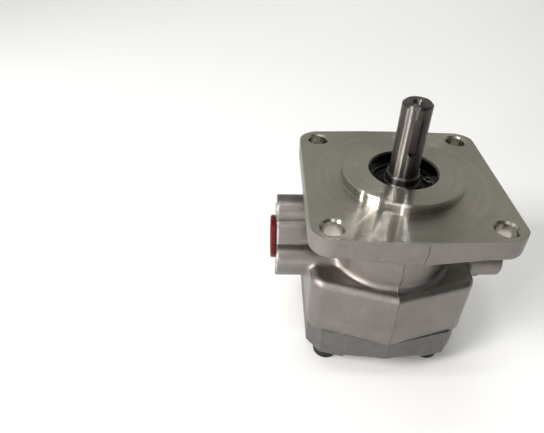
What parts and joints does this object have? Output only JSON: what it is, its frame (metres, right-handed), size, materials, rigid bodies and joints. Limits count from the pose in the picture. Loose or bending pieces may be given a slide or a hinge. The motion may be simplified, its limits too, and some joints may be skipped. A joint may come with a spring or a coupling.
{
  "type": "hydraulic gear pump",
  "caption": "Flange-mounted external gear pump with square flange, keyed drive shaft, side ports closed by plastic plugs and a bolted rear cover.",
  "frame": {"origin": "on the drive shaft's axis, in the plane of the rear cover's raised pad", "axes": "+Z along the drive shaft towards its keyed end; the driven gear's axis lies at +Y; the outlet port faces -X and the inlet port +X"},
  "size_m": [0.1168, 0.1038, 0.14],
  "materials": {
    "cast_body": "die-cast, with machined flange face and spigot",
    "cast_cover": "die-cast, fine grained",
    "black_steel": "black oxide",
    "ground_steel": "ground",
    "spring_steel": "bright",
    "bearing_block": "machined",
    "bearing_bronze": "sintered bronze lined",
    "seal_rubber": "moulded",
    "plug_plastic": "moulded red polyethylene"
  },
  "bodies": {
    "housing": {"body": "cast_body", "rear_cover": "cast_cover", "cover_screw_1": "black_steel", "lock_washer_1": "black_steel", "cover_screw_2": "black_steel", "lock_washer_2": "black_steel", "cover_screw_3": "black_steel", "lock_washer_3": "black_steel", "cover_screw_4": "black_steel", "lock_washer_4": "black_steel", "dowel_pin_1": "ground_steel", "dowel_pin_2": "ground_steel", "rear_bearing_block": "bearing_block", "rear_block_seal": "seal_rubber", "rear_bush_drive": "bearing_bronze", "rear_bush_driven": "bearing_bronze", "front_bearing_block": "bearing_block", "front_block_seal": "seal_rubber", "front_bush_drive": "bearing_bronze", "front_bush_driven": "bearing_bronze", "cover_seal": "seal_rubber", "shaft_seal": "seal_rubber", "seal_garter_spring": "spring_steel", "seal_retaining_ring": "spring_steel"},
    "drive_shaft": {"drive_gear_shaft": "ground_steel"},
    "driven_shaft": {"driven_gear_shaft": "ground_steel"},
    "outlet_plug": {"outlet_port_plug": "plug_plastic"},
    "inlet_plug": {"inlet_port_plug": "plug_plastic"}
  },
  "joints": [
    {"name": "drive_shaft_spin", "type": "hinge", "parent": "housing", "child": "drive_shaft", "pos_m": [0, 0, 0.053], "axis": [0, 0, 1], "continuous": true},
    {"name": "driven_shaft_spin", "type": "hinge", "parent": "housing", "child": "driven_shaft", "pos_m": [0, 0.025, 0.053], "axis": [0, 0, 1], "continuous": true},
    {"name": "outlet_plug_pull", "type": "slide", "parent": "housing", "child": "outlet_plug", "axis": [-1, 0, 0], "range_m": [0, 0.016]},
    {"name": "inlet_plug_pull", "type": "slide", "parent": "housing", "child": "inlet_plug", "axis": [1, 0, 0], "range_m": [0, 0.016]}
  ],
  "couplings": [
    {"joint": "driven_shaft_spin", "follows": "drive_shaft_spin", "ratio": -1}
  ]
}
